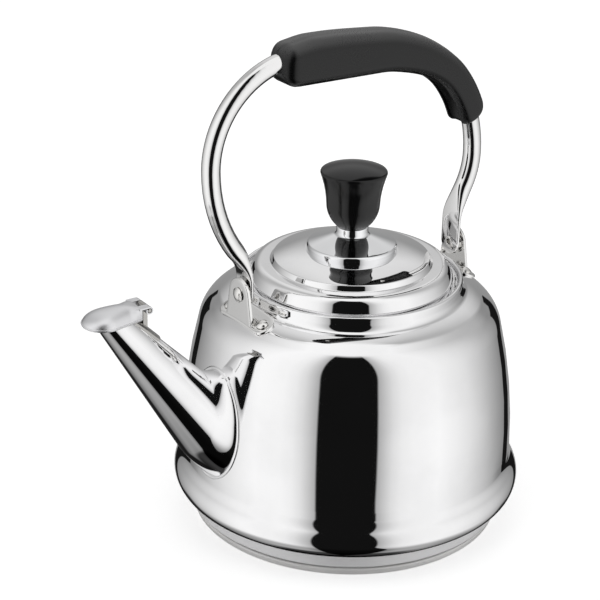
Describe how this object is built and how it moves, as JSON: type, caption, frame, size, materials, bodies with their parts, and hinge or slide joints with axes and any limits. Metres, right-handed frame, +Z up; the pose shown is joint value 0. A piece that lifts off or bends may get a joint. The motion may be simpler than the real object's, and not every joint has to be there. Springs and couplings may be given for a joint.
{
  "type": "stovetop whistling kettle",
  "caption": "Polished steel stovetop kettle with bulged base, tapered spout with flip-up whistle cap, lift-off lid and a swinging bail handle with a dark moulded grip.",
  "frame": {"origin": "centre of the flat resting face under the base cap", "axes": "+Z up, spout towards -X, bail handle stands in the XZ plane and its pivots lie along X"},
  "size_m": [0.2488, 0.1842, 0.2612],
  "materials": {
    "polished_steel": "mirror-polished stainless steel sheet",
    "base_steel": "finely brushed magnetic steel",
    "ear_steel": "polished stamped steel",
    "handle_steel": "polished stainless tube",
    "satin_steel": "satin pressed steel",
    "fastener_steel": "bright rivets and screws",
    "chromed_plate": "chromed pressing",
    "aluminium_core": "plain rolled disc",
    "black_moulding": "satin-gloss black phenolic moulding"
  },
  "bodies": {
    "kettle": {"body_shell": "polished_steel", "bottom_pan": "polished_steel", "heat_spreader": "aluminium_core", "base_cap": "base_steel", "spout": "polished_steel", "spout_bead": "polished_steel", "hinge_bracket": "polished_steel", "hinge_pin": "fastener_steel", "ear_front": "ear_steel", "ear_rear": "ear_steel", "ear_rivets_front": "fastener_steel", "ear_rivets_rear": "fastener_steel", "pivot_rivet_front": "fastener_steel", "pivot_rivet_rear": "fastener_steel", "pivot_washers": "fastener_steel"},
    "whistle": {"whistle_cap": "satin_steel", "whistle_base": "satin_steel", "whistle_cup": "satin_steel"},
    "bail": {"bail_tube": "handle_steel", "grip_upper": "black_moulding", "grip_lower": "black_moulding", "grip_screws": "fastener_steel"},
    "lid": {"lid_cover": "polished_steel", "lid_skirt": "polished_steel", "knob_plate": "chromed_plate", "knob": "black_moulding", "knob_screw": "fastener_steel", "knob_washer": "fastener_steel"}
  },
  "joints": [
    {"name": "bail_swing", "type": "hinge", "parent": "kettle", "child": "bail", "pos_m": [0, 0, 0.13585], "axis": [1, 0, 0], "range_deg": [-95, 95]},
    {"name": "whistle_flip", "type": "hinge", "parent": "kettle", "child": "whistle", "pos_m": [-0.1245, 0, 0.1429], "axis": [0, 1, 0], "range_deg": [0, 105]},
    {"name": "lid_lift", "type": "slide", "parent": "kettle", "child": "lid", "axis": [0, 0, 1], "range_m": [0, 0.04]}
  ]
}
